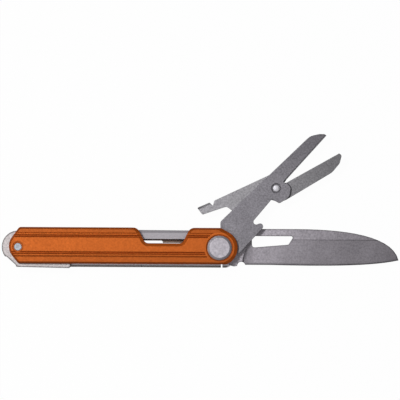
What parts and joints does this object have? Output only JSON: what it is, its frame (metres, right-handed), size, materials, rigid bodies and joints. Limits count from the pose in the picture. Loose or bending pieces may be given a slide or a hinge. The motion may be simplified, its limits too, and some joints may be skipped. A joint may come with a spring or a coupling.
{
  "type": "folding pocket multi tool",
  "caption": "Slim folding pocket tool with grooved metal scales: a locking plain-edge knife, sprung scissors with a driver tip, and a butt tool with hammer face, bottle opener and pry tip.",
  "frame": {"origin": "on the main pivot's axis, at the rear scale's outer face, which the closed tool lies on", "axes": "+X from the main pivot towards the open knife's tip, +Y towards the side the scissors fold out of, +Z from the rear scale to the front scale"},
  "size_m": [0.1563, 0.0533, 0.0122],
  "materials": {
    "scale_orange": "orange anodised over a fine bead blast",
    "liner_steel": "satin, stamped and tumbled",
    "lock_steel": "satin, stamped and tumbled",
    "knife_steel": "grey bead blast",
    "scissor_steel": "grey bead blast",
    "opener_steel": "light bead blast",
    "disc_steel": "satin",
    "screw_steel": "satin",
    "rivet_steel": "bright turned",
    "pin_steel": "ground",
    "spring_steel": "drawn wire",
    "washer_bronze": "plain rolled sheet"
  },
  "bodies": {
    "handle": {"front_scale": "scale_orange", "rear_scale": "scale_orange", "centre_liner": "liner_steel", "lock_liner": "lock_steel", "stop_pin": "pin_steel", "pivot_barrel": "disc_steel", "pivot_screw": "screw_steel", "rear_rivet": "rivet_steel", "butt_spacer": "pin_steel", "knife_washers": "washer_bronze", "scissor_spacer": "pin_steel", "scissor_washer": "washer_bronze", "opener_washers": "washer_bronze"},
    "knife": {"knife_blade": "knife_steel"},
    "lock": {"lock_bar": "lock_steel", "detent_ball": "pin_steel"},
    "scissors": {"scissor_arm": "scissor_steel", "scissor_rivet": "rivet_steel", "scissor_spring": "spring_steel"},
    "lever": {"scissor_lever": "scissor_steel"},
    "butt_tool": {"opener": "opener_steel"}
  },
  "joints": [
    {"name": "knife_fold", "type": "hinge", "parent": "handle", "child": "knife", "pos_m": [0, 0, 0.0047], "axis": [0, 0, -1], "range_deg": [0, 180]},
    {"name": "lock_flex", "type": "hinge", "parent": "handle", "child": "lock", "pos_m": [-0.031, -0.003, 0.0034], "axis": [0, 1, 0], "range_deg": [-2.2, 0], "stiffness_Nm_per_rad": 0.25, "springref_deg": 2.86},
    {"name": "scissors_fold", "type": "hinge", "parent": "handle", "child": "scissors", "pos_m": [0, 0, 0.0092], "axis": [0, 0, 1], "range_deg": [-46.75, 133.25]},
    {"name": "scissor_squeeze", "type": "hinge", "parent": "scissors", "child": "lever", "pos_m": [0.0222, 0.0236, 0.00785], "axis": [0, 0, 1], "range_deg": [0, 20.5], "stiffness_Nm_per_rad": 0.08, "springref_deg": -8.59},
    {"name": "opener_fold", "type": "hinge", "parent": "handle", "child": "butt_tool", "pos_m": [-0.0794, 0, 0.0085], "axis": [0, 0, -1], "range_deg": [0, 180]}
  ]
}
